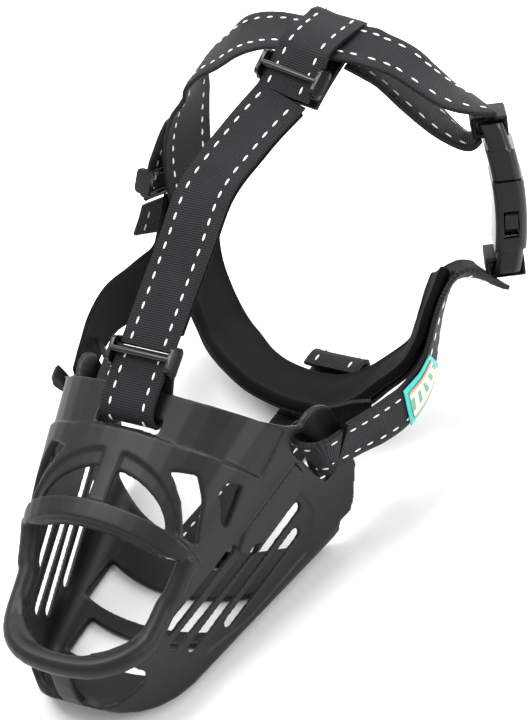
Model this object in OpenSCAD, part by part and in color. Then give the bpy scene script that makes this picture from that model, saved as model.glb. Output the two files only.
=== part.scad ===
/* [Basket] */
// Half width of the basket at the strap slot datum
half_w = 42; // [41:0.5:43]
// Sideways flare of the walls, in millimetres for each millimetre of length
flare = 0.225; // [0.21:0.005:0.24]
// Thickness of the moulded wall
wall = 3.2; // [3:0.1:3.6]
// Height of the roof above the nose bar
roof_h = 69; // [68:0.5:70]
// Rise of the roof for each millimetre of length
roof_rise = 0.43; // [0.41:0.01:0.45]
// How far the rounded nose reaches in front of the straight walls
nose_reach = 35.9; // [35.5:0.1:36.5]
// Radius of the thick ring round the front opening
ring_r = 4.4; // [4:0.1:4.8]
// Width of the long slots in the walls
slot_w = 4.6; // [4:0.2:5]

/* [Webbing] */
// Width of all webbing
web_w = 25; // [24:0.5:25.5]
// Thickness of the webbing
web_t = 1.8; // [1.5:0.1:1.9]
// Width of the padded throat band
pad_w = 28; // [26:0.5:29]
// Thickness of the padded throat band
pad_t = 4; // [3:0.5:4]

/* [Buckle] */
// Width of the buckle housing
buckle_w = 34; // [34:0.5:36]
// Thickness of the buckle housing
buckle_t = 12.5; // [12:0.5:14]
// Length of the buckle housing
housing_len = 36; // [36:0.5:38]

/* [Hidden] */

MOULDED = "#2b2b2d";
WEBBING = "#1c1c1e";
NEOPRENE = "#151516";
GLOSSY = "#121213";

SIDES = 36;       // points round a basket section
nose_start = -28; // the walls begin to close in front of this
nose_pow = 2.6;
low_pow = 9;      // squareness of the section below the springing line
low_spread = 4.5; // the walls stand this much wider at the floor
rear_y = 73.1;     // the sections start this far back
floor_dip = 0.6;  // sections dip below the floor plane, which trims them flat
top_pow = 2;      // roundness of the roof
bar_y = [-18, -10.5];
datum_y = 14;     // the frame's origin lies this far behind the slot datum, on the floor panel

// ---------- curves ----------
function catmull(a, b, c, d, t) =
  0.5 * (2 * b + (c - a) * t + (2 * a - 5 * b + 4 * c - d) * t * t
  + (3 * b - a - 3 * c + d) * t * t * t);
function smooth(p, steps) =
  let (n = len(p))
  [for (i = [0:n - 2]) for (k = [0:steps - 1])
    catmull(p[max(i - 1, 0)], p[i], p[i + 1], p[min(i + 2, n - 1)], k / steps), p[n - 1]];
function unit(v) = v / norm(v);
function tangent(p, i) = unit(p[min(i + 1, len(p) - 1)] - p[max(i - 1, 0)]);
function sgn_pow(v, p) = sign(v) * pow(abs(v), p);
function arc(c, r, from, to, n) =
  [for (i = [0:n]) let (a = from + (to - from) * i / n) c + r * [cos(a), sin(a)]];

// Moves a shape from the slot datum to the frame of the assembly
module to_frame() {
  translate([0, -datum_y, 0]) children();
}

// A closed solid through rings that all have the same number of points
module skin(rings) {
  m = len(rings[0]);
  n = len(rings);
  points = [for (r = rings) for (p = r) p];
  sides = [for (i = [0:n - 2]) for (j = [0:m - 1])
    let (a = i * m + j, b = i * m + (j + 1) % m) each [[a, b + m, b], [a, a + m, b + m]]];
  start = [for (j = [0:m - 1]) j];
  end = [for (j = [m - 1:-1:0]) (n - 1) * m + j];
  polyhedron(points, concat([start, end], sides), convexity = 10);
}

// Webbing along stations of [point, width direction]. The layer lies between low and high,
// measured outwards from the stations.
module strap(route, width, low, high, steps = 4) {
  p = smooth([for (s = route) s[0]], steps);
  w = smooth([for (s = route) s[1]], steps);
  to_frame() skin([for (i = [0:len(p) - 1])
    let (t = tangent(p, i), side = unit(w[i] - (w[i] * t) * t), out = cross(side, t))
    [for (c = [[-1, low], [-1, high], [1, high], [1, low]])
      p[i] + side * c[0] * width / 2 + out * c[1]]]);
}

// Places a piece whose own frame is: x along the width, y outwards, z along the strap
module place(at, side, along) {
  z = unit(along);
  x = unit(side - (side * z) * z);
  y = cross(z, x);
  to_frame() multmatrix([[x[0], y[0], z[0], at[0]], [x[1], y[1], z[1], at[1]], [x[2], y[2], z[2], at[2]]])
    children();
}

// ---------- basket ----------
function wide(y) = half_w + flare * y;
function spring(y) = y > -6 ? 51.4 + 0.21 * (y + 6) : 51.4 + 0.53 * (y + 6);
function roof(y) = roof_h + roof_rise * (y + 17.7);
function closing(y, inset) =
  y >= nose_start ? 1
  : pow(max(0, 1 - pow((nose_start - y) / (nose_reach - inset), nose_pow)), 1 / nose_pow);
function section(y, inset) =
  let (k = closing(y, inset), w = wide(y) - inset, mid = spring(y))
  [for (i = [0:SIDES - 1])
    let (a = 360 * i / SIDES, c = cos(a), s = sin(a), p = 2 / (s > 0 ? top_pow : low_pow),
      spread = low_spread * max(0, -sin(a)))
    [(w + spread) * k * sgn_pow(c, p), y,
     mid + (s > 0 ? roof(y) - inset - mid : mid + floor_dip - inset) * k * sgn_pow(s, p)]];
function stations(inset, rear) = concat(
  [for (y = [rear:-10:-20]) y],
  [for (t = [8:13:86]) nose_start - (nose_reach - inset) * sin(t)]);
module form(inset, rear = rear_y) {
  skin([for (y = stations(inset, rear)) section(y, inset)]);
}

// A plate that fills an outline drawn as [y, z], between two x planes
module side_plate(outline, from = -80, to = 80) {
  translate([from, 0, 0]) rotate([90, 0, 90]) linear_extrude(to - from) polygon(outline);
}
module side_slot(a, b, w) {
  run = b - a;
  turn = atan2(run[1], run[0]);
  for (side = [-80, 30])
    translate([side, 0, 0]) rotate([90, 0, 90]) linear_extrude(50)
      polygon(concat(arc(a, w / 2, turn + 90, turn + 270, 8), arc(b, w / 2, turn - 90, turn + 90, 8)));
}

// Side view of the whole moulding: rim, ear tabs, rear edge, floor and front opening
SIDE_VIEW = concat(
  [[34, 95], [35, 88], [43, 73.5], [49, 66]],
  arc([59.5, 54.5], 9.5, 128, 0, 7),
  [[69.5, 40], [68.5, 26], [61, 12], [54, 4], [46, 0], [-70, 0], [-70, 36.5]],
  [[-45, 38], [-31, 42], [-20, 47], [-14, 51.5], [-19, 60], [-19, 80]]);
RIM_BAND = [[17, 100], [18, 80], [28.5, 57], [47, 66], [43, 74], [34, 100]];
SIDE_PAD = [[9, 33], [6, 38], [12, 43], [44, 50.5], [45, 44], [40, 37.5], [14, 31]];
NOSE_BAR = [[bar_y[0], 95], [bar_y[0], 46], [bar_y[1], 46], [bar_y[1], 95]];

module basket_shell() {
  difference() {
    union() {
      difference() {
        form(0);
        side_plate(RIM_BAND);
      }
      form(1.4);
      intersection() {
        form(-1.6);
        union() {
          side_plate(NOSE_BAR);
          side_plate(SIDE_PAD);
        }
      }
    }
    form(wall, rear_y + 20);
  }
}

// Half-moon window in the roof, from above, split by the centre rib
module roof_arch(rx, ry, rib) {
  difference() {
    intersection() {
      translate([0, bar_y[1]]) polygon([for (a = [0:7.5:180]) [rx * cos(a), ry * sin(a)]]);
      translate([-50, bar_y[1]]) square(100);
    }
    translate([-rib / 2, -40]) square([rib, 80]);
  }
}
module roof_windows() {
  translate([0, 0, 40]) linear_extrude(60) {
    roof_arch(29, 14, 8);
  }
  for (m = [0, 1]) mirror([m, 0, 0]) rotate([0, 50, 0]) translate([0, 0, 50]) linear_extrude(40)
    polygon([[-42, 9.4], [-33, 13], [-26, 7], [-16.5, -7], [-22.5, -8.2], [-31.5, 1.5]]);
  side_plate([[12, 64], [17, 65], [21, 60.5], [7, 50.5], [6, 55]]);
}

// Shallow ledge that follows the arch, on the outside of the roof
module arch_ledge() {
  intersection() {
    difference() {
      form(-0.5);
      form(1.3);
    }
    translate([0, 0, 40]) linear_extrude(60) roof_arch(34, 20, 8);
  }
}

// Long slots in the walls, from front low to rear high, in one sunk panel
SLOTS = [
  [[-32, 31.5], [5, 39.5]], [[-32, 23.5], [14, 32]], [[-26, 16], [38, 30.5]], [[-8, 12], [33, 21]]];
PANEL = concat(arc([-32, 26], 9.5, 100, 250, 6), [[-22, 9.5], [0, 6], [34, 10], [44, 24], [42, 36],
  [14, 29], [6, 41]]);
module sunk_panel() {
  intersection() {
    difference() {
      form(-0.5);
      form(1.1);
    }
    side_plate(PANEL);
  }
}

// Curved openings across the floor, from above
module floor_band(y_front, y_rear, half) {
  intersection() {
    difference() {
      translate([0, y_front + 90]) circle(90, $fn = 90);
      translate([0, y_rear + 70]) circle(70, $fn = 90);
    }
    translate([-half, y_front]) square([2 * half, 34]);
  }
}
module floor_openings() {
  translate([0, 0, -5]) linear_extrude(14) {
    floor_band(-12, 5, 34);
    floor_band(-36, -20, 26);
    polygon(concat([for (x = [-60:6:60]) [x, 30 + x * x / 130]], [[60, 90], [-60, 90]]));
  }
}

// Two windows below the front ring, with the centre strut between them
module nose_windows() {
  for (m = [0, 1]) mirror([m, 0, 0])
    translate([0, -30, 0]) rotate([90, 0, 0]) linear_extrude(60)
      polygon([[4.5, 13], [10, 12.2], [19, 13.5], [27, 18], [28.5, 23], [26, 28.5], [4.5, 29]]);
}

// Thick bead round the front opening: up one wall, round the nose and up the other wall
function ring_point(t) =
  let (straight = abs(t) > 1, e = straight ? 90 : 90 * abs(t), inset = 2.2,
    y = straight ? nose_start + (abs(t) - 1) * 17 : nose_start - (nose_reach - inset)
      * pow(cos(e), 2 / nose_pow),
    x = straight ? wide(y) - inset : (wide(nose_start) - inset - 1) * pow(sin(e), 2 / nose_pow),
    z = y < -45 ? 34.5 : 34.5 + 17 * pow((y + 45) / 34, 1.6))
  [sign(t) * x, y, z];
module front_ring() {
  path = smooth([for (t = [-2:0.2:2.01]) ring_point(t)], 2);
  skin([for (i = [0:len(path) - 1])
    let (t = tangent(path, i), u = unit(cross([0, 0, 1], t)), v = cross(t, u))
    [for (a = [0:36:324]) path[i] + ring_r * (cos(a) * u + sin(a) * v)]]);
}

// Slots that the webbing passes through: one in each ear tab and one in the rim
EAR_SLOT = [[56, 34.5], [49.4, 56.8]];
module strap_slots() {
  side_slot(EAR_SLOT[0], EAR_SLOT[1], 7.6);
  translate([-14.5, 19.5, 70]) cube([29, 5.5, 30]);
}

module basket() {
  color(MOULDED) to_frame() difference() {
    union() {
      intersection() {
        basket_shell();
        side_plate(SIDE_VIEW);
      }
      front_ring();
    }
    roof_windows();
    arch_ledge();
    sunk_panel();
    for (s = SLOTS) side_slot(s[0], s[1], slot_w);
    floor_openings();
    nose_windows();
    strap_slots();
    translate([-14.5, 21, -5]) cube([29, 5, 14]);
  }
}

// ---------- routes of the webbing: [point, width direction] ----------
ACROSS = [1, 0, 0];
FOREHEAD = [
  [[0, 45.6, 99.3], ACROSS], [[0, 64, 107.5], ACROSS], [[0, 86, 117.3], ACROSS],
  [[0, 107, 126], ACROSS], [[5, 132, 131], [0.98, -0.18, -0.05]],
  [[10.5, 151, 134.2], [0.96, -0.25, -0.12]]];
NOSE_LOOP = [
  [[0, 45, 99], ACROSS], [[0, 33, 93.3], ACROSS], [[0, 25.5, 89.3], ACROSS],
  [[0, 22.3, 84.5], ACROSS], [[0, 25, 80.5], ACROSS], [[0, 34, 83.5], ACROSS],
  [[0, 40, 90], ACROSS], [[0, 45, 94.4], ACROSS]];
TOP_LOOP = [
  [[11, 152.6, 134.8], [0.96, -0.25, -0.12]], [[12.2, 160.3, 138.35], [0.96, -0.25, -0.12]],
  [[13.2, 166.5, 141.2], [0.97, -0.22, -0.06]], [[13.8, 171.5, 143.3], [0.98, -0.2, 0]],
  [[14.2, 179, 142.6], [0.98, -0.2, 0]], [[13.8, 188, 139.6], [0.98, -0.15, 0]],
  [[12.8, 195.4, 135.6], [0.98, -0.15, 0]], [[12.6, 190.5, 132], [0.98, -0.15, 0]],
  [[13, 180, 132.6], [0.98, -0.18, 0]], [[12.6, 168, 131.6], [0.97, -0.2, -0.05]],
  [[11.4, 155, 128.6], [0.96, -0.25, -0.12]]];

COLLAR_FAR = [
  [[-67.2, 160.1, 50.5], [-0.17, -0.73, 0.66]], [[-67, 162.8, 61.4], [-0.19, -0.74, 0.65]],
  [[-66.1, 165.4, 72.1], [-0.15, -0.75, 0.64]], [[-63.9, 167.9, 82.3], [-0.04, -0.72, 0.69]],
  [[-60.4, 170.5, 93.1], [0.12, -0.69, 0.72]], [[-56.8, 172.5, 101.2], [0.32, -0.66, 0.68]],
  [[-53.2, 174.5, 109], [0.45, -0.66, 0.6]], [[-47.1, 176, 115.8], [0.53, -0.7, 0.48]],
  [[-38.1, 177.8, 122.8], [0.53, -0.78, 0.34]], [[-26.3, 179.8, 131.2], [0.53, -0.82, 0.21]],
  [[-13.5, 181.1, 135.8], [0.53, -0.82, 0.23]], [[0.9, 181.7, 137.4], [0.46, -0.85, 0.26]],
  [[16.7, 181.8, 137.2], [0.47, -0.86, 0.21]]];
COLLAR_NEAR = [
  [[17.4, 181.8, 137.2], [0.47, -0.86, 0.21]], [[26, 181.9, 137.6], [0.44, -0.87, 0.22]],
  [[36, 181.6, 137.2], [0.41, -0.89, 0.2]], [[47, 182.5, 132.8], [0.4, -0.89, 0.22]],
  [[56.5, 181.6, 127], [0.38, -0.88, 0.28]], [[63.5, 183, 119], [0.42, -0.83, 0.34]],
  [[68.8, 186.3, 112.4], [0.5, -0.74, 0.42]], [[72.6, 190.5, 106.9], [0.6, -0.65, 0.47]]];
COLLAR_RETURN = [
  [[39, 181.4, 122.2], [0.36, -0.83, 0.42]], [[49.5, 179.9, 113.2], [0.37, -0.86, 0.36]],
  [[58.5, 179.1, 103.7], [0.42, -0.81, 0.39]], [[67.5, 180.2, 95.5], [0.56, -0.7, 0.44]]];
COLLAR_OUTER = [
  [[-77, 154.6, 56.2], [0.03, -0.7, 0.71]], [[-75.5, 159, 63.6], [0.03, -0.7, 0.71]],
  [[-73.5, 163, 70.8], [0.03, -0.7, 0.71]], [[-70, 167.3, 80.2], [0.15, -0.68, 0.71]],
  [[-65.5, 171.3, 89.6], [0.25, -0.65, 0.7]]];
COLLAR_TAIL = [
  [[-80.3, 145.4, 42.6], [-0.1, -0.72, 0.68]], [[-78.9, 149.2, 47.8], [-0.05, -0.72, 0.69]],
  [[-77.4, 153.4, 54.7], [0.03, -0.7, 0.71]]];

NEAR_CHEEK = [
  [[62.6, 60.5, 46.2], [-0.28, 0.25, -0.92]], [[65.5, 72, 42.5], [-0.24, 0.29, -0.93]],
  [[68.3, 82.2, 39.5], [-0.2, 0.26, -0.95]], [[70.4, 92, 37.6], [-0.22, 0.25, -0.94]],
  [[71.6, 102.4, 38.6], [-0.28, 0.31, -0.91]], [[72.3, 112, 43.4], [-0.38, 0.46, -0.8]],
  [[72.9, 119.4, 50.5], [-0.45, 0.52, -0.73]], [[73.6, 126, 57], [-0.48, 0.56, -0.68]],
  [[74.6, 132, 61.6], [-0.5, 0.58, -0.64]], [[75.6, 138.5, 63.2], [-0.55, 0.6, -0.58]],
  [[77.4, 146, 58.5], [-0.6, 0.65, -0.5]], [[79.9, 151.9, 51.6], [-0.6, 0.65, -0.47]]];
FAR_CHEEK = [
  [[-62.6, 60.5, 46.2], [0.28, -0.25, 0.92]], [[-65.8, 73, 48.6], [0.3, -0.4, 0.86]],
  [[-68.4, 85.4, 50], [0.24, -0.45, 0.86]], [[-70.4, 99.3, 48.4], [0.16, -0.35, 0.92]],
  [[-71, 114.3, 42.7], [0.1, -0.22, 0.97]], [[-71.8, 127.7, 37.4], [0.06, -0.3, 0.95]],
  [[-71, 139, 38], [0, -0.5, 0.86]], [[-70.2, 148, 43], [-0.1, -0.65, 0.75]]];
TAB_SIDE = [-0.3, 0.25, -0.92];
EAR_LOOP = [
  [[62.4, 59, 46.4], TAB_SIDE], [[60.4, 54.2, 47.2], TAB_SIDE], [[57.4, 51.9, 47], [-0.1, 0.26, -0.95]],
  [[53, 51.8, 46.6], [0, 0.26, -0.96]], [[49, 54.4, 45.8], [0, 0.26, -0.96]], [[48.8, 61, 44.2], [0, 0.26, -0.96]],
  [[51.6, 70, 42], [0, 0.26, -0.96]], [[56.6, 76.5, 40.7], [0, 0.26, -0.96]], [[61.6, 82, 39.4], [-0.2, 0.26, -0.94]]];
THROAT = [
  [[64.1, 144.4, 58.3], [0.6, -0.5, 0.6]], [[63.7, 138.6, 55.3], [0.6, -0.5, 0.6]],
  [[62.5, 130.8, 49.3], [0.6, -0.52, 0.6]], [[60.2, 124.3, 42.3], [0.6, -0.54, 0.58]],
  [[54.5, 119.8, 33.9], [0.58, -0.58, 0.55]], [[45.1, 116.5, 25.8], [0.56, -0.66, 0.48]],
  [[34.2, 111.8, 18.5], [0.52, -0.76, 0.38]], [[20.5, 109.4, 12.4], [0.49, -0.81, 0.33]],
  [[7.5, 108.6, 10.8], [0.43, -0.84, 0.33]], [[-4.5, 109.2, 11.5], [0.37, -0.87, 0.34]],
  [[-16, 110.8, 13.6], [0.26, -0.88, 0.39]], [[-28.5, 116.2, 16], [0.19, -0.89, 0.41]],
  [[-40.5, 124.2, 17.7], [0.15, -0.89, 0.44]], [[-48.8, 130.6, 23], [0.13, -0.9, 0.41]],
  [[-55.6, 137.8, 30.4], [0.09, -0.87, 0.48]], [[-59.4, 144.2, 39.6], [0.04, -0.84, 0.54]],
  [[-61.4, 150.5, 48.4], [-0.05, -0.78, 0.62]]];
CHIN = [
  [[0, 23.4, 0.9], ACROSS], [[0, 24.2, 3.2], ACROSS], [[0, 28, 5.2], ACROSS],
  [[0, 36, 5], ACROSS], [[0, 50, 3], ACROSS], [[1.5, 76, 1.2], ACROSS],
  [[3, 101, 1], ACROSS]];
CHIN_FOLD = [
  [[3, 101.5, 1], ACROSS], [[3.5, 118, 1], ACROSS], [[4, 131, 1], ACROSS],
  [[4, 134.4, 3.4], ACROSS], [[4, 131.6, 5.8], ACROSS], [[4, 125, 6.2], ACROSS]];
LABEL = [
  [[70.35, 91.6, 37.5], [-0.22, 0.25, -0.94]], [[71.6, 102.4, 38.6], [-0.28, 0.31, -0.91]],
  [[72.35, 112.6, 43.9], [-0.38, 0.46, -0.8]]];

module webbing(route, low = -web_t / 2, high = web_t / 2, width = web_w, steps = 4) {
  color(WEBBING) strap(route, width, low, high, steps);
}
module nose_loop() { webbing(NOSE_LOOP); }
module forehead_webbing() { webbing(FOREHEAD); }
LINING = concat([[[0, 53, 102.7], ACROSS]], [for (i = [1:len(FOREHEAD) - 1]) FOREHEAD[i]]);
module forehead_lining() {
  color(NEOPRENE) strap(LINING, web_w, -web_t / 2 - 2, -web_t / 2 - 0.2);
}
module forehead_top_loop() { webbing(TOP_LOOP); }
module collar_far_webbing() { webbing(COLLAR_FAR); }
module collar_far_outer() { webbing(COLLAR_OUTER); }
module collar_tail() { webbing(COLLAR_TAIL); }
module collar_near_webbing() { webbing(COLLAR_NEAR); }
module collar_near_return() { webbing(COLLAR_RETURN); }
module near_cheek_strap() { webbing(NEAR_CHEEK); }
module near_cheek_loop() { webbing(EAR_LOOP); }
module far_cheek_strap() { webbing(FAR_CHEEK); }
module far_cheek_loop() { mirror([1, 0, 0]) webbing(EAR_LOOP); }
module throat_band() { color(NEOPRENE) strap(THROAT, pad_w, -pad_t / 2, pad_t / 2); }
module throat_webbing() { webbing(THROAT, pad_t / 2 + 0.3, pad_t / 2 + 0.3 + web_t); }
module chin_strap() { webbing(CHIN); }
module chin_loop() { webbing(CHIN_FOLD); }
module label_border() {
  color("#5fd0c8") strap(LABEL, web_w - 1, web_t / 2 + 0.4, web_t / 2 + 1);
}
module label_patch() {
  color("#e9dfc4") strap([LABEL[0] + [[0.3, 2, 0.1], [0, 0, 0]], LABEL[1],
    LABEL[2] - [[0.3, 1.6, 1], [0, 0, 0]]], web_w - 7, web_t / 2 + 1.25, web_t / 2 + 1.7);
}

// ---------- tri-glides: two outer bars over the webbing, a centre bar under it ----------
glide_len = 12;
bar_r = 1.3;
module triglide() {
  color(GLOSSY) {
    for (m = [0, 1]) mirror([m, 0, 0])
      translate([web_w / 2 + 0.5, 0, 0]) rotate([90, 0, 90]) linear_extrude(1.7) {
        translate([-3.7, -3.2]) square([7.2, 6.4]);
        for (end = [-1, 1]) {
          translate([1.2, end * 3.9]) circle(2.3, $fn = 24);
          translate([-1.6, end * 3.2]) circle(2.1, $fn = 24);
        }
      }
    for (bar = [[2.6, glide_len / 2 - bar_r], [2.6, bar_r - glide_len / 2], [-2.6, 0]])
      translate([-web_w / 2 - 1, bar[0], bar[1]]) rotate([0, 90, 0])
        cylinder(r = bar_r, h = web_w + 2, $fn = 24);
  }
}
LOWER_GLIDE = [[0, 42.6, 98], ACROSS, [0, 0.9, 0.43]];
UPPER_GLIDE = [[12.2, 160.3, 138.35], [0.96, -0.25, -0.12], [0.14, 0.9, 0.41]];
COLLAR_GLIDE = [[-75.5, 159, 63.6], [0.03, -0.7, 0.71], [0.2, 0.49, 0.85]];
module at_glide(g) { place(g[0], g[1], g[2]) children(); }
module lower_triglide() { at_glide(LOWER_GLIDE) triglide(); }
module upper_triglide() { at_glide(UPPER_GLIDE) triglide(); }
module collar_triglide() { at_glide(COLLAR_GLIDE) triglide(); }

// ---------- side release buckle, in its own frame: z runs from the housing to the male ----------
BUCKLE_AT = [81.5, 160, 50.7];
BUCKLE_SIDE = [0.6, -0.65, 0.47];
BUCKLE_ALONG = [-0.134, 0.496, 0.859];
slot_half = web_w / 2 + 0.7;
web_bar = 3.5;     // height of the bars that the webbing wraps
cavity = [27, 6];
window_z = [14, 24.5];
prong_root = [9.8, housing_len + 2.6];
root_r = 2;
male_len = 23;
module in_buckle() { place(BUCKLE_AT, BUCKLE_SIDE, BUCKLE_ALONG) children(); }

// A bar of rounded rectangular section, standing on z = 0
module rounded_bar(size, r, h) {
  linear_extrude(h) {
    square([size[0] - 2 * r, size[1]], center = true);
    square([size[0], size[1] - 2 * r], center = true);
    for (x = [-1, 1]) for (y = [-1, 1])
      translate([x * (size[0] / 2 - r), y * (size[1] / 2 - r)]) circle(r, $fn = 32);
  }
}
module buckle_housing() {
  color(GLOSSY) in_buckle() difference() {
    union() {
      translate([0, 0, 9]) rounded_bar([buckle_w, buckle_t], 3.5, housing_len - 9);
      rounded_bar([buckle_w - 3, buckle_t - 2], 3, 10);
    }
    translate([-cavity[0] / 2, -cavity[1] / 2, 12]) cube([cavity[0], cavity[1], 40]);
    translate([-30, -cavity[1] / 2, window_z[0]])
      cube([60, cavity[1], window_z[1] - window_z[0]]);
    translate([-slot_half, -10, web_bar]) cube([2 * slot_half, 20, 5]);
  }
}
module buckle_male() {
  color(GLOSSY) in_buckle() difference() {
    union() {
      translate([0, 0, housing_len + 0.3]) rounded_bar([buckle_w - 3, buckle_t - 1], 3.5, 12);
      translate([0, 0, housing_len + 10]) rounded_bar([buckle_w - 4, buckle_t - 3], 3, 13);
      translate([-2.5, -2.5, 15]) cube([5, 5, housing_len - 13]);
    }
    translate([-slot_half, -10, housing_len + 14]) cube([2 * slot_half, 20, 5.5]);
    for (m = [-1, 1]) translate([m * prong_root[0], 0, 0]) {
      translate([0, 3, prong_root[1]]) rotate([90, 0, 0]) cylinder(r = root_r + 0.05, h = 6, $fn = 48);
      translate([-4.6, -3, housing_len - 1]) cube([9.2, 6, 2.4]);
    }
  }
}
module prong(m) {
  color(GLOSSY) in_buckle() mirror([m, 0, 0])
    translate([0, 2.5, 0]) rotate([90, 0, 0]) linear_extrude(5) {
      translate(prong_root) circle(root_r, $fn = 48);
      translate([prong_root[0] - 1.5, 20]) square([3, prong_root[1] - 20]);
      polygon([[8.3, 24.4], [8.3, 14.6], [14, 14.6], [17.2, 18], [17.2, 22], [15.6, 23.9], [11, 24.2]]);
    }
}
module prong_left() { prong(0); }
module prong_right() { prong(1); }

// Webbing wrapped round a bar: an oval ring, as wide as the webbing
module web_ring(z_low, depth) {
  r = [depth / 2 + web_t, (web_bar + 0.8) / 2 + web_t];
  color(WEBBING) translate([-web_w / 2, 0, z_low]) rotate([90, 0, 90]) linear_extrude(web_w)
    difference() {
      translate([-r[0], -web_t]) square([2 * r[0], 2 * r[1]]);
      translate([-depth / 2, 0]) square([depth, web_bar + 0.8]);
    }
}
module buckle_web_loop() { in_buckle() web_ring(-0.4, buckle_t - 1); }
module male_web_loop() { in_buckle() web_ring(housing_len + male_len - web_bar - 0.4, buckle_t - 2); }

basket();
nose_loop();
forehead_webbing();
forehead_lining();
forehead_top_loop();
lower_triglide();
upper_triglide();
collar_triglide();
collar_far_webbing();
collar_far_outer();
collar_tail();
collar_near_webbing();
collar_near_return();
near_cheek_strap();
near_cheek_loop();
far_cheek_strap();
far_cheek_loop();
throat_band();
throat_webbing();
chin_strap();
chin_loop();
buckle_housing();
buckle_male();
prong_left();
prong_right();
buckle_web_loop();
male_web_loop();
label_border();
label_patch();
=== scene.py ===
import math

import bmesh
import bpy
from mathutils import Matrix, Vector, noise


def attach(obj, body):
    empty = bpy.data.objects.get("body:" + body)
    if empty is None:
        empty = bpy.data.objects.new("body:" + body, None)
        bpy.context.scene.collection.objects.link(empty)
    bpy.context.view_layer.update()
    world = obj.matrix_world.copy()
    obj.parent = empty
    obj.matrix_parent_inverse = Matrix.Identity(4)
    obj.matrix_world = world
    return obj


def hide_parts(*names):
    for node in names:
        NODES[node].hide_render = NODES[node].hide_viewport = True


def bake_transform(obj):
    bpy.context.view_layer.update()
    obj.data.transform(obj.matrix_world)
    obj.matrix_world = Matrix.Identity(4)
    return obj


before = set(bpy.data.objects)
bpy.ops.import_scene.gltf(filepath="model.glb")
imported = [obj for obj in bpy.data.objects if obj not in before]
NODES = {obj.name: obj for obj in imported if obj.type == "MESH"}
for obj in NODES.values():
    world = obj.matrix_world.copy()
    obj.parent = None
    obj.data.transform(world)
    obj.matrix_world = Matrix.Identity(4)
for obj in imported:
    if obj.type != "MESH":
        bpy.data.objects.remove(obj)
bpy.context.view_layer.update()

MM = 0.001
DATUM = Vector((0, -14, 0))  # from the slot datum of the routes to the frame's origin
WEB_W = 25
WEB_T = 1.8
PAD_W = 28
PAD_T = 4

# ---------- routes of the webbing, in millimetres: [point, width direction] ----------
ACROSS = [1, 0, 0]
TAB_SIDE = [-0.3, 0.25, -0.92]
FOREHEAD = [
  [[0, 45.6, 99.3], ACROSS], [[0, 64, 107.5], ACROSS], [[0, 86, 117.3], ACROSS],
  [[0, 107, 126], ACROSS], [[5, 132, 131], [0.98, -0.18, -0.05]],
  [[10.5, 151, 134.2], [0.96, -0.25, -0.12]]]
NOSE_LOOP = [
  [[0, 45, 99], ACROSS], [[0, 33, 93.3], ACROSS], [[0, 25.5, 89.3], ACROSS],
  [[0, 22.3, 84.5], ACROSS], [[0, 25, 80.5], ACROSS], [[0, 34, 83.5], ACROSS],
  [[0, 40, 90], ACROSS], [[0, 45, 94.4], ACROSS]]
TOP_LOOP = [
  [[11, 152.6, 134.8], [0.96, -0.25, -0.12]], [[12.2, 160.3, 138.35], [0.96, -0.25, -0.12]],
  [[13.2, 166.5, 141.2], [0.97, -0.22, -0.06]], [[13.8, 171.5, 143.3], [0.98, -0.2, 0]],
  [[14.2, 179, 142.6], [0.98, -0.2, 0]], [[13.8, 188, 139.6], [0.98, -0.15, 0]],
  [[12.8, 195.4, 135.6], [0.98, -0.15, 0]], [[12.6, 190.5, 132], [0.98, -0.15, 0]],
  [[13, 180, 132.6], [0.98, -0.18, 0]], [[12.6, 168, 131.6], [0.97, -0.2, -0.05]],
  [[11.4, 155, 128.6], [0.96, -0.25, -0.12]]]
COLLAR_FAR = [
  [[-67.2, 160.1, 50.5], [-0.17, -0.73, 0.66]], [[-67, 162.8, 61.4], [-0.19, -0.74, 0.65]],
  [[-66.1, 165.4, 72.1], [-0.15, -0.75, 0.64]], [[-63.9, 167.9, 82.3], [-0.04, -0.72, 0.69]],
  [[-60.4, 170.5, 93.1], [0.12, -0.69, 0.72]], [[-56.8, 172.5, 101.2], [0.32, -0.66, 0.68]],
  [[-53.2, 174.5, 109], [0.45, -0.66, 0.6]], [[-47.1, 176, 115.8], [0.53, -0.7, 0.48]],
  [[-38.1, 177.8, 122.8], [0.53, -0.78, 0.34]], [[-26.3, 179.8, 131.2], [0.53, -0.82, 0.21]],
  [[-13.5, 181.1, 135.8], [0.53, -0.82, 0.23]], [[0.9, 181.7, 137.4], [0.46, -0.85, 0.26]],
  [[16.7, 181.8, 137.2], [0.47, -0.86, 0.21]]]
COLLAR_NEAR = [
  [[17.4, 181.8, 137.2], [0.47, -0.86, 0.21]], [[26, 181.9, 137.6], [0.44, -0.87, 0.22]],
  [[36, 181.6, 137.2], [0.41, -0.89, 0.2]], [[47, 182.5, 132.8], [0.4, -0.89, 0.22]],
  [[56.5, 181.6, 127], [0.38, -0.88, 0.28]], [[63.5, 183, 119], [0.42, -0.83, 0.34]],
  [[68.8, 186.3, 112.4], [0.5, -0.74, 0.42]], [[72.6, 190.5, 106.9], [0.6, -0.65, 0.47]]]
COLLAR_RETURN = [
  [[39, 181.4, 122.2], [0.36, -0.83, 0.42]], [[49.5, 179.9, 113.2], [0.37, -0.86, 0.36]],
  [[58.5, 179.1, 103.7], [0.42, -0.81, 0.39]], [[67.5, 180.2, 95.5], [0.56, -0.7, 0.44]]]
COLLAR_OUTER = [
  [[-77, 154.6, 56.2], [0.03, -0.7, 0.71]], [[-75.5, 159, 63.6], [0.03, -0.7, 0.71]],
  [[-73.5, 163, 70.8], [0.03, -0.7, 0.71]], [[-70, 167.3, 80.2], [0.15, -0.68, 0.71]],
  [[-65.5, 171.3, 89.6], [0.25, -0.65, 0.7]]]
COLLAR_TAIL = [
  [[-80.3, 145.4, 42.6], [-0.1, -0.72, 0.68]], [[-78.9, 149.2, 47.8], [-0.05, -0.72, 0.69]],
  [[-77.4, 153.4, 54.7], [0.03, -0.7, 0.71]]]
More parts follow.
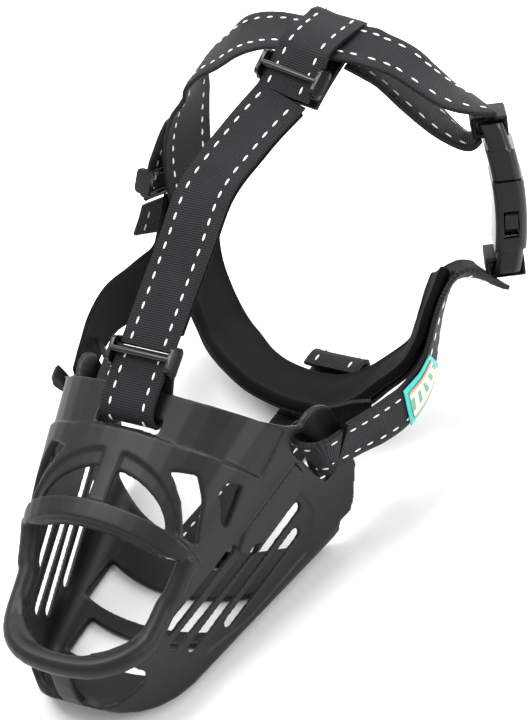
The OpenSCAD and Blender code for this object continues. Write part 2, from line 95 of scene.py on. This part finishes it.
NEAR_CHEEK = [
  [[62.6, 60.5, 46.2], [-0.28, 0.25, -0.92]], [[65.5, 72, 42.5], [-0.24, 0.29, -0.93]],
  [[68.3, 82.2, 39.5], [-0.2, 0.26, -0.95]], [[70.4, 92, 37.6], [-0.22, 0.25, -0.94]],
  [[71.6, 102.4, 38.6], [-0.28, 0.31, -0.91]], [[72.3, 112, 43.4], [-0.38, 0.46, -0.8]],
  [[72.9, 119.4, 50.5], [-0.45, 0.52, -0.73]], [[73.6, 126, 57], [-0.48, 0.56, -0.68]],
  [[74.6, 132, 61.6], [-0.5, 0.58, -0.64]], [[75.6, 138.5, 63.2], [-0.55, 0.6, -0.58]],
  [[77.4, 146, 58.5], [-0.6, 0.65, -0.5]], [[79.9, 151.9, 51.6], [-0.6, 0.65, -0.47]]]
FAR_CHEEK = [
  [[-62.6, 60.5, 46.2], [0.28, -0.25, 0.92]], [[-65.8, 73, 48.6], [0.3, -0.4, 0.86]],
  [[-68.4, 85.4, 50], [0.24, -0.45, 0.86]], [[-70.4, 99.3, 48.4], [0.16, -0.35, 0.92]],
  [[-71, 114.3, 42.7], [0.1, -0.22, 0.97]], [[-71.8, 127.7, 37.4], [0.06, -0.3, 0.95]],
  [[-71, 139, 38], [0, -0.5, 0.86]], [[-70.2, 148, 43], [-0.1, -0.65, 0.75]]]
EAR_LOOP = [
  [[62.4, 59, 46.4], TAB_SIDE], [[60.4, 54.2, 47.2], TAB_SIDE], [[57.4, 51.9, 47], [-0.1, 0.26, -0.95]],
  [[53, 51.8, 46.6], [0, 0.26, -0.96]], [[49, 54.4, 45.8], [0, 0.26, -0.96]],
  [[48.8, 61, 44.2], [0, 0.26, -0.96]], [[51.6, 70, 42], [0, 0.26, -0.96]],
  [[56.6, 76.5, 40.7], [0, 0.26, -0.96]], [[61.6, 82, 39.4], [-0.2, 0.26, -0.94]]]
THROAT = [
  [[64.1, 144.4, 58.3], [0.6, -0.5, 0.6]], [[63.7, 138.6, 55.3], [0.6, -0.5, 0.6]],
  [[62.5, 130.8, 49.3], [0.6, -0.52, 0.6]], [[60.2, 124.3, 42.3], [0.6, -0.54, 0.58]],
  [[54.5, 119.8, 33.9], [0.58, -0.58, 0.55]], [[45.1, 116.5, 25.8], [0.56, -0.66, 0.48]],
  [[34.2, 111.8, 18.5], [0.52, -0.76, 0.38]], [[20.5, 109.4, 12.4], [0.49, -0.81, 0.33]],
  [[7.5, 108.6, 10.8], [0.43, -0.84, 0.33]], [[-4.5, 109.2, 11.5], [0.37, -0.87, 0.34]],
  [[-16, 110.8, 13.6], [0.26, -0.88, 0.39]], [[-28.5, 116.2, 16], [0.19, -0.89, 0.41]],
  [[-40.5, 124.2, 17.7], [0.15, -0.89, 0.44]], [[-48.8, 130.6, 23], [0.13, -0.9, 0.41]],
  [[-55.6, 137.8, 30.4], [0.09, -0.87, 0.48]], [[-59.4, 144.2, 39.6], [0.04, -0.84, 0.54]],
  [[-61.4, 150.5, 48.4], [-0.05, -0.78, 0.62]]]
CHIN = [
  [[0, 23.4, 0.9], ACROSS], [[0, 24.2, 3.2], ACROSS], [[0, 28, 5.2], ACROSS],
  [[0, 36, 5], ACROSS], [[0, 50, 3], ACROSS], [[1.5, 76, 1.2], ACROSS],
  [[3, 101, 1], ACROSS]]
CHIN_FOLD = [
  [[3, 101.5, 1], ACROSS], [[3.5, 118, 1], ACROSS], [[4, 131, 1], ACROSS],
  [[4, 134.4, 3.4], ACROSS], [[4, 131.6, 5.8], ACROSS], [[4, 125, 6.2], ACROSS]]
LABEL = [
  [[70.35, 91.6, 37.5], [-0.22, 0.25, -0.94]], [[71.6, 102.4, 38.6], [-0.28, 0.31, -0.91]],
  [[72.35, 112.6, 43.9], [-0.38, 0.46, -0.8]]]

# ---------- materials ----------
def colour(code):
    """sRGB hex to the linear values that a shader takes."""
    parts = [int(code[i:i + 2], 16) / 255 for i in (1, 3, 5)]
    return [c / 12.92 if c <= 0.04045 else ((c + 0.055) / 1.055) ** 2.4 for c in parts] + [1]


class Shader:
    """A material whose nodes are added one at a time."""

    def __init__(self, name):
        self.material = bpy.data.materials.new(name)
        self.material.use_nodes = True
        self.tree = self.material.node_tree
        self.tree.nodes.clear()
        self.output = self.add("ShaderNodeOutputMaterial")

    def add(self, kind, inputs=None, **settings):
        node = self.tree.nodes.new(kind)
        for key, value in settings.items():
            setattr(node, key, value)
        for key, value in (inputs or {}).items():
            if isinstance(value, bpy.types.NodeSocket):
                self.tree.links.new(value, node.inputs[key])
            else:
                node.inputs[key].default_value = value
        return node

    def maths(self, operation, a, b=0.0):
        return self.add("ShaderNodeMath", {0: a, 1: b}, operation=operation).outputs[0]

    def mix(self, factor, a, b):
        node = self.add("ShaderNodeMix", {"Factor": factor}, data_type="RGBA")
        for socket, value in ((node.inputs[6], a), (node.inputs[7], b)):
            if isinstance(value, bpy.types.NodeSocket):
                self.tree.links.new(value, socket)
            else:
                socket.default_value = value
        return node.outputs[2]

    def noise(self, where, size_mm, detail=2.0):
        inputs = {"Vector": where, "Scale": 1000 / size_mm, "Detail": detail}
        return self.add("ShaderNodeTexNoise", inputs).outputs["Fac"]

    def bump(self, height, depth_mm, strength=1.0):
        inputs = {"Height": height, "Distance": depth_mm * MM, "Strength": strength}
        return self.add("ShaderNodeBump", inputs).outputs[0]

    def surface(self, **inputs):
        keys = {k.replace("_", " "): v for k, v in inputs.items()}
        bsdf = self.add("ShaderNodeBsdfPrincipled", keys)
        self.tree.links.new(bsdf.outputs[0], self.output.inputs[0])
        return self.material


def object_place(s):
    return s.add("ShaderNodeTexCoord").outputs["Object"]


def moulded_rubber():
    # Thermoplastic rubber, injection moulded: charcoal, satin, with a very fine spark-eroded grain
    s = Shader("moulded_rubber")
    where = object_place(s)
    cloud = s.noise(where, 24, 3)
    grain = s.noise(where, 0.55, 2)
    tone = s.mix(s.maths("MULTIPLY", cloud, 0.55), colour("#0d0d0e"), colour("#1b1b1d"))
    rough = s.maths("ADD", s.maths("MULTIPLY", cloud, 0.18), 0.36)
    return s.surface(Base_Color=tone, Roughness=rough, IOR=1.5, Specular_IOR_Level=0.32,
                     Normal=s.bump(grain, 0.05, 0.5))


def webbing_cloth(name, dark, light, pitch=0.95):
    # Polyester webbing, woven with ribs straight across its width and a flat selvedge on each edge
    s = Shader(name)
    uv = s.add("ShaderNodeSeparateXYZ", {0: s.add("ShaderNodeUVMap", uv_map="UVMap").outputs[0]})
    across, along = uv.outputs[0], uv.outputs[1]
    where = object_place(s)
    ripple = s.maths("MULTIPLY", s.noise(where, 5, 2), 0.5)
    rows = s.maths("MULTIPLY", along, math.pi * 1000 / pitch)
    rib = s.maths("ABSOLUTE", s.maths("SINE", s.maths("ADD", rows, ripple)))
    yarn = s.maths("ABSOLUTE", s.maths("SINE", s.maths("MULTIPLY", across, math.pi * 1000 / 1.3)))
    weave = s.maths("MULTIPLY", rib, s.maths("ADD", s.maths("MULTIPLY", yarn, 0.35), 0.65))
    fuzz = s.noise(where, 0.35, 3)
    wear = s.noise(where, 16, 3)
    height = s.maths("ADD", weave, s.maths("MULTIPLY", fuzz, 0.35))
    # The colour follows the weave's relief. The rib crests are lighter, a painted highlight, and the
    # grooves between ribs are darker, painted shade. The wear noise also varies the tone at random.
    tone = s.mix(s.maths("MULTIPLY", weave, s.maths("ADD", wear, 0.2)), colour(dark), colour(light))
    return s.surface(Base_Color=tone, Roughness=0.62, IOR=1.5, Specular_IOR_Level=0.2,
                     Normal=s.bump(height, 0.22, 0.9))


def neoprene_cloth():
    # Foam rubber with a knitted nylon face: deep black, matt, faintly fuzzy
    s = Shader("neoprene")
    where = object_place(s)
    knit = s.noise(where, 0.6, 2)
    fold = s.noise(where, 14, 2)
    # The tone follows the fold relief of the bump: it is darker in the hollows, which is painted shade.
    tone = s.mix(fold, colour("#050505"), colour("#0e0e0f"))
    height = s.maths("ADD", knit, s.maths("MULTIPLY", fold, 1.5))
    return s.surface(Base_Color=tone, Roughness=0.8, Specular_IOR_Level=0.12,
                     Normal=s.bump(height, 0.15, 0.6))


def gloss_acetal():
    # Acetal, injection moulded in a polished tool: black with clear highlights and slight flow marks
    s = Shader("acetal")
    where = object_place(s)
    flow = s.noise(where, 9, 2)
    rough = s.maths("ADD", s.maths("MULTIPLY", flow, 0.14), 0.2)
    polish = s.bump(s.noise(where, 1.6, 2), 0.02, 0.4)
    return s.surface(Base_Color=colour("#0a0a0b"), Roughness=rough, IOR=1.48, Normal=polish)


def thread():
    # Twisted polyester sewing thread: bright white, slightly lustrous
    s = Shader("thread")
    twist = s.noise(object_place(s), 0.4, 1)
    return s.surface(Base_Color=colour("#e9e9e6"), Roughness=0.5, Sheen_Weight=0.3,
                     Normal=s.bump(twist, 0.1, 0.6))


def label_cloth(name, base, mark=None):
    # Damask-woven label: fine satin ground, with a plain band of woven bars where mark is given
    s = Shader(name)
    uv = s.add("ShaderNodeSeparateXYZ", {0: s.add("ShaderNodeUVMap", uv_map="UVMap").outputs[0]})
    across, along = uv.outputs[0], uv.outputs[1]
    weave = s.maths("SINE", s.maths("MULTIPLY", along, 2 * math.pi * 1000 / 0.5))
    tone = colour(base)
    if mark:
        wave = s.maths("SINE", s.maths("MULTIPLY", along, 2 * math.pi * 1000 / 4.2))
        bars = s.maths("GREATER_THAN", wave, 0.1)
        band = s.maths("LESS_THAN", s.maths("ABSOLUTE", across), 0.0042)
        edge = s.maths("GREATER_THAN", s.maths("ABSOLUTE", across), 0.0072)
        tone = s.mix(s.maths("MULTIPLY", bars, band), tone, colour(mark))
        tone = s.mix(edge, tone, colour("#b98f6a"))
    return s.surface(Base_Color=tone, Roughness=0.55, Sheen_Weight=0.2, Normal=s.bump(weave, 0.05, 0.5))


RUBBER = moulded_rubber()
# The lighter colour of each webbing is the painted highlight on its rib crests.
WEBBING = webbing_cloth("webbing", "#060607", "#26262b")
# A darker copy of the webbing with a dimmer crest colour, for the loops at the buckle's bars: painted
# shade.
WEBBING_PAINTED_SHADE = webbing_cloth("webbing_painted_shade", "#060607", "#1c1c20")
NEOPRENE = neoprene_cloth()
ACETAL = gloss_acetal()
THREAD = thread()
LABEL_EDGE = label_cloth("label_edge", "#27b8b4")
LABEL_CENTRE = label_cloth("label_centre", "#eadfc6", "#5b9a83")


# ---------- meshes ----------
def finish_mesh(bm, name, material):
    mesh = bpy.data.meshes.new(name)
    bm.to_mesh(mesh)
    bm.free()
    mesh.materials.append(material)
    obj = bpy.data.objects.new(name, mesh)
    bpy.context.scene.collection.objects.link(obj)
    return obj


def bake(obj):
    """Turns the object's modifiers into plain mesh."""
    graph = bpy.context.evaluated_depsgraph_get()
    graph.update()
    mesh = bpy.data.meshes.new_from_object(obj.evaluated_get(graph), depsgraph=graph)
    old = obj.data
    obj.modifiers.clear()
    obj.data = mesh
    bpy.data.meshes.remove(old)
    obj.data.shade_smooth()
    return obj


def bevelled(obj, width_mm, segments=2, angle=40):
    bevel = obj.modifiers.new("edges", "BEVEL")
    bevel.width = width_mm * MM
    bevel.segments = segments
    bevel.limit_method = "ANGLE"
    bevel.angle_limit = math.radians(angle)
    return obj


def copy_of(node, name, material):
    """A copy of a CAD mesh with its corners merged, ready to be refined."""
    bm = bmesh.new()
    bm.from_mesh(NODES[node].data)
    bmesh.ops.remove_doubles(bm, verts=bm.verts, dist=0.00001)
    bmesh.ops.recalc_face_normals(bm, faces=bm.faces)
    obj = finish_mesh(bm, name, material)
    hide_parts(node)
    return obj


# ---------- webbing ----------
def catmull(a, b, c, d, t):
    """A place t of the way from b to c, on the smooth curve through a, b, c and d."""
    square = (2 * a - 5 * b + 4 * c - d) * t * t
    cube = (3 * b - a - 3 * c + d) * t ** 3
    return 0.5 * (2 * b + (c - a) * t + square + cube)


class Route:
    """A smooth line with a width direction at each place, read by its share of the length."""

    def __init__(self, stations, steps=10):
        self.points = self.smooth([Vector(s[0]) + DATUM for s in stations], steps)
        self.widths = self.smooth([Vector(s[1]) for s in stations], steps)
        self.reach = [0.0]
        for a, b in zip(self.points, self.points[1:]):
            self.reach.append(self.reach[-1] + (b - a).length)
        self.length = self.reach[-1]

    @staticmethod
    def smooth(p, steps):
        n = len(p)
        out = [catmull(p[max(i - 1, 0)], p[i], p[i + 1], p[min(i + 2, n - 1)], k / steps)
               for i in range(n - 1) for k in range(steps)]
        return out + [p[-1].copy()]

    def frame(self, share):
        """Point, side, outwards and forward directions."""
        at = min(max(share, 0), 1) * self.length
        i = 0
        while i < len(self.reach) - 2 and self.reach[i + 1] < at:
            i += 1
        f = (at - self.reach[i]) / max(self.reach[i + 1] - self.reach[i], 1e-9)
        a = self.tangent(i)
        b = self.tangent(i + 1)
        t = a.lerp(b, f).normalized()
        w = self.widths[i].lerp(self.widths[i + 1], f)
        side = (w - w.dot(t) * t).normalized()
        return self.points[i].lerp(self.points[i + 1], f), side, side.cross(t), t

    def tangent(self, i):
        return (self.points[min(i + 1, len(self.points) - 1)] - self.points[max(i - 1, 0)]).normalized()


def ripple(p, size, depth):
    return depth * noise.noise(Vector(p) / size)


def ribbon(name, route, width, low, high, material, round_mm=0.5, puff=0.0, wave=0.18):
    """Flat webbing between low and high, measured outwards from the route. puff swells its middle."""
    bm = bmesh.new()
    uv = bm.loops.layers.uv.new("UVMap")
    rows = max(8, int(route.length / 1.6))
    bmesh.ops.create_grid(bm, x_segments=14, y_segments=rows, size=0.5)
    for face in bm.faces:
        for loop in face.loops:
            co = loop.vert.co
            loop[uv].uv = (co.x * width * MM, (co.y + 0.5) * route.length * MM)
    for v in bm.verts:
        u, t = v.co.x, v.co.y + 0.5
        p, side, out, _ = route.frame(t)
        swell = puff * (1 - (2 * u) ** 4)
        edge = -0.25 * (high - low) * abs(2 * u) ** 8
        place = p + side * u * width
        v.co = (place + out * (high + swell + edge + ripple(place, 13, wave))) * MM
    obj = finish_mesh(bm, name, material)
    solid = obj.modifiers.new("thickness", "SOLIDIFY")
    solid.thickness = (high - low + puff) * MM
    solid.offset = -1
    bevelled(obj, round_mm, 3, 55)
    return bake(obj)


def stitches(name, route, height, rows, start=3.5, stop=3.5, pitch=6.2, dash=3.2):
    """Rows of white stitches on webbing: one slim capsule for each stitch."""
    bm = bmesh.new()
    count = max(1, int((route.length - start - stop) / pitch))
    for row in rows:
        for i in range(count + 1):
            share = (start + i * pitch) / route.length
            if share > 1 - stop / route.length:
                continue
            p, side, out, t = route.frame(share)
            place = p + side * row
            lean = 0.05 * noise.noise(place)
            t = (t + lean * side).normalized()
            at = (place + out * (height + ripple(place, 13, 0.18) + 0.02)) * MM
            across = t.cross(out).normalized()
            turn = Matrix((across, t, out)).transposed().to_4x4()
            size = Matrix.Diagonal((0.5 * MM, dash / 2 * MM, 0.34 * MM, 1))
            place_it = Matrix.Translation(at) @ turn @ size @ Matrix.Rotation(math.pi / 2, 4, "X")
            bmesh.ops.create_uvsphere(bm, u_segments=8, v_segments=6, radius=1, matrix=place_it)
    obj = finish_mesh(bm, name, THREAD)
    obj.data.shade_smooth()
    return obj


EDGE_ROW = WEB_W / 2 - 4.6
BOTH_EDGES = (-EDGE_ROW, EDGE_ROW)
HALF = WEB_T / 2


def web(node, stations, body, rows=BOTH_EDGES, face=1, material=WEBBING, low=-HALF, high=HALF,
        across_joint=None):
    """One length of webbing in place of its CAD node, with its stitches."""
    route = Route(stations)
    pieces = [ribbon(node + "_cloth", route, WEB_W, low, high, material)]
    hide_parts(node)
    for side in ((1, -1) if face == 2 else (face,)):
        if rows:
            level = high if side > 0 else low
            ending = "_stitches" if side > 0 else "_stitches_inside"
            pieces.append(stitches(node + ending, route, level, rows))
    for piece in pieces:
        if across_joint:
            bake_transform(piece)
        else:
            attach(piece, body)


def mirrored(stations):
    return [[[-s[0][0], s[0][1], s[0][2]], [s[1][0], -s[1][1], -s[1][2]]] for s in stations]


web("nose_loop", NOSE_LOOP, "basket", face=-1)
web("forehead_webbing", FOREHEAD + TOP_LOOP[:1], "basket")
web("forehead_top_loop", TOP_LOOP, "basket")
web("collar_far_webbing", COLLAR_FAR, "basket", face=2)
web("collar_far_outer", COLLAR_OUTER, "basket", face=2)
web("collar_tail", COLLAR_TAIL, "basket", face=2)
web("near_cheek_strap", NEAR_CHEEK, "basket")
web("near_cheek_loop", EAR_LOOP, "basket", face=-1)
# The cheek strap runs on under the collar's end
FAR_LAP = [[[-69.9, 153.4, 46.6], [-0.14, -0.7, 0.7]], [[-70, 159.4, 52], [-0.17, -0.72, 0.67]]]
web("far_cheek_strap", FAR_CHEEK + FAR_LAP, "basket", rows=None, material=NEOPRENE)
web("far_cheek_loop", mirrored(EAR_LOOP), "basket", face=-1)
web("chin_strap", CHIN, "basket")
web("chin_loop", CHIN_FOLD, "basket", face=-1)
web("throat_webbing", THROAT, "basket", low=PAD_T / 2 + 0.3, high=PAD_T / 2 + 0.3 + WEB_T)

NEAR_START = [v * MM for v in (Vector(COLLAR_NEAR[2][0]) + DATUM)]
NEAR_END = [v * MM for v in (Vector(COLLAR_NEAR[-1][0]) + DATUM)]
RETURN_START = [v * MM for v in (Vector(COLLAR_RETURN[0][0]) + DATUM)]
RETURN_END = [v * MM for v in (Vector(COLLAR_RETURN[-1][0]) + DATUM)]
web("collar_near_webbing", COLLAR_NEAR, "basket", face=1, across_joint=(NEAR_START, NEAR_END))
# The return runs on at both ends, up to the crown loop and down to the buckle's bar
RETURN_TOP = [[[26.5, 181.7, 131.4], [0.42, -0.87, 0.25]], [[32.6, 181.6, 127.4], [0.38, -0.86, 0.35]]]
RETURN_FOOT = [[[71.2, 184.2, 96.8], [0.6, -0.65, 0.47]]]
FULL_RETURN = RETURN_TOP + COLLAR_RETURN + RETURN_FOOT
web("collar_near_return", FULL_RETURN, "basket", face=1, across_joint=(RETURN_START, RETURN_END))

# The band runs on to the collar's end
PAD_LAP = [[[-62.9, 155.4, 54], [-0.1, -0.75, 0.65]]]
band = ribbon("throat_band_pad", Route(THROAT + PAD_LAP), PAD_W, -PAD_T / 2, PAD_T / 2 - 0.5, NEOPRENE,
              1.4, 0.5, 0.5)
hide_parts("throat_band")
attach(band, "basket")

LINING = [[[0, 53, 102.7], ACROSS]] + FOREHEAD[1:]
lining = ribbon("forehead_lining_cloth", Route(LINING), WEB_W, -HALF - 2, -HALF - 0.2, NEOPRENE, 0.6)
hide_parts("forehead_lining")
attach(lining, "basket")

label_edge = ribbon("label_edge_cloth", Route(LABEL), WEB_W - 1, HALF + 0.4, HALF + 1.0, LABEL_EDGE,
                    0.2, 0, 0.1)
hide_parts("label_border")
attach(label_edge, "basket")
CENTRE = [[[LABEL[0][0][0] + 0.3, LABEL[0][0][1] + 2, LABEL[0][0][2] + 0.1], LABEL[0][1]], LABEL[1],
          [[LABEL[2][0][0] - 0.3, LABEL[2][0][1] - 1.6, LABEL[2][0][2] - 1], LABEL[2][1]]]
label_centre = ribbon("label_centre_cloth", Route(CENTRE), WEB_W - 7, HALF + 1.25, HALF + 1.7, LABEL_CENTRE,
                      0.15, 0, 0.1)
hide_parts("label_patch")
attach(label_centre, "basket")

# ---------- moulded basket ----------
basket = copy_of("basket", "basket_shell", RUBBER)
skin = basket.modifiers.new("skin", "REMESH")
skin.mode = "VOXEL"
skin.voxel_size = 0.55 * MM
skin.use_smooth_shade = True
relax = basket.modifiers.new("relax", "SMOOTH")
relax.factor = 0.5
relax.iterations = 14
bake(basket)
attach(basket, "basket")

# ---------- buckle and tri-glides ----------
BUCKLE_AT = Vector((81.5, 160, 50.7)) + DATUM
BUCKLE_ALONG = Vector((-0.134, 0.496, 0.859)).normalized()
BUCKLE_OUT = BUCKLE_ALONG.cross(Vector((0.6, -0.65, 0.47))).normalized()
BUCKLE_MIDDLE = 29.5
BUCKLE_BOW = 4.5  # the closed buckle curves this far outwards, to lie round a neck


def bowed(obj):
    """Curves a piece of the straight buckle outwards between its two webbing bars."""
    for v in obj.data.vertices:
        reach = (v.co / MM - BUCKLE_AT).dot(BUCKLE_ALONG) - BUCKLE_MIDDLE
        v.co += BUCKLE_OUT * BUCKLE_BOW * max(0, 1 - (reach / 31) ** 2) * MM
    return obj


HARD = [  # node, the body it rides on, and the rounding of its edges in millimetres
    ("buckle_housing", "basket", 0.9), ("buckle_male", "buckle_male", 0.7),
    ("prong_left", "prong_left", 0.4), ("prong_right", "prong_right", 0.4),
    ("lower_triglide", "lower_triglide", 0.35), ("upper_triglide", "upper_triglide", 0.35),
    ("collar_triglide", "collar_triglide", 0.35)]
for node, body, edge in HARD:
    piece = copy_of(node, node + "_moulding", ACETAL)
    if node in ("buckle_housing", "buckle_male"):
        cut = bmesh.new()
        cut.from_mesh(piece.data)
        for step in range(2, 58, 3):
            plane = (BUCKLE_AT + BUCKLE_ALONG * (step + 0.37)) * MM
            whole = cut.verts[:] + cut.edges[:] + cut.faces[:]
            bmesh.ops.bisect_plane(cut, geom=whole, plane_co=plane, plane_no=BUCKLE_ALONG, dist=1e-6)
        cut.to_mesh(piece.data)
        cut.free()
    bake(bevelled(piece, edge, 3, 35))
    if "triglide" not in node:
        bowed(piece)
    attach(piece, body)
# The loops at the buckle's bars take the darker copy of the webbing, which is painted shade.
for node, body in (("buckle_web_loop", "basket"), ("male_web_loop", "buckle_male")):
    piece = copy_of(node, node + "_cloth", WEBBING_PAINTED_SHADE)
    piece.data.uv_layers.new(name="UVMap")
    for loop, uv in zip(piece.data.loops, piece.data.uv_layers["UVMap"].data):
        co = piece.data.vertices[loop.vertex_index].co
        uv.uv = (co.x, co.z)
    bake(bevelled(piece, 1.6, 4, 50))
    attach(piece, body)

# ---------- floor, light and camera ----------
bm = bmesh.new()
bmesh.ops.create_grid(bm, x_segments=1, y_segments=1, size=4)
paper = Shader("paper")
floor = finish_mesh(bm, "floor", paper.surface(Base_Color=colour("#fbfbfb"), Roughness=0.9))
floor.location.z = -0.0005


def softbox(name, at, size, power, aim=(0.03, 0.05, 0.06)):
    light = bpy.data.lights.new(name, "AREA")
    light.shape = "DISK"
    light.size = size
    light.energy = power
    obj = bpy.data.objects.new(name, light)
    obj.location = at
    obj.rotation_euler = (Vector(aim) - Vector(at)).to_track_quat("-Z", "Y").to_euler()
    bpy.context.scene.collection.objects.link(obj)
    return obj


softbox("key", (-0.45, 0.1, 1.2), 0.9, 15)
softbox("side", (0.95, 0.1, 0.5), 0.5, 5)
softbox("back", (0.0, 0.9, 0.7), 0.7, 8)
world = bpy.data.worlds.new("studio")
world.use_nodes = True
world.node_tree.nodes["Background"].inputs[0].default_value = (1, 1, 1, 1)
world.node_tree.nodes["Background"].inputs[1].default_value = 0.8
bpy.context.scene.world = world
bpy.context.scene.view_settings.view_transform = "Standard"

lens = bpy.data.cameras.new("camera")
lens.sensor_width = 36
lens.lens = 393.4
camera = bpy.data.objects.new("camera", lens)
away = Vector((0.55, -0.5026, 0.667)).normalized()
up = Vector((-0.1835, 0.7067, 0.6838))
up = (up - up.dot(away) * away).normalized()
right = up.cross(away)
centre = (Vector((38.3, 63.9, 84)) + DATUM) * MM
turn = Matrix((right, up, away)).transposed().to_4x4()
camera.matrix_world = Matrix.Translation(centre + away * 3) @ turn
lens.clip_end = 20
bpy.context.scene.collection.objects.link(camera)
bpy.context.scene.camera = camera
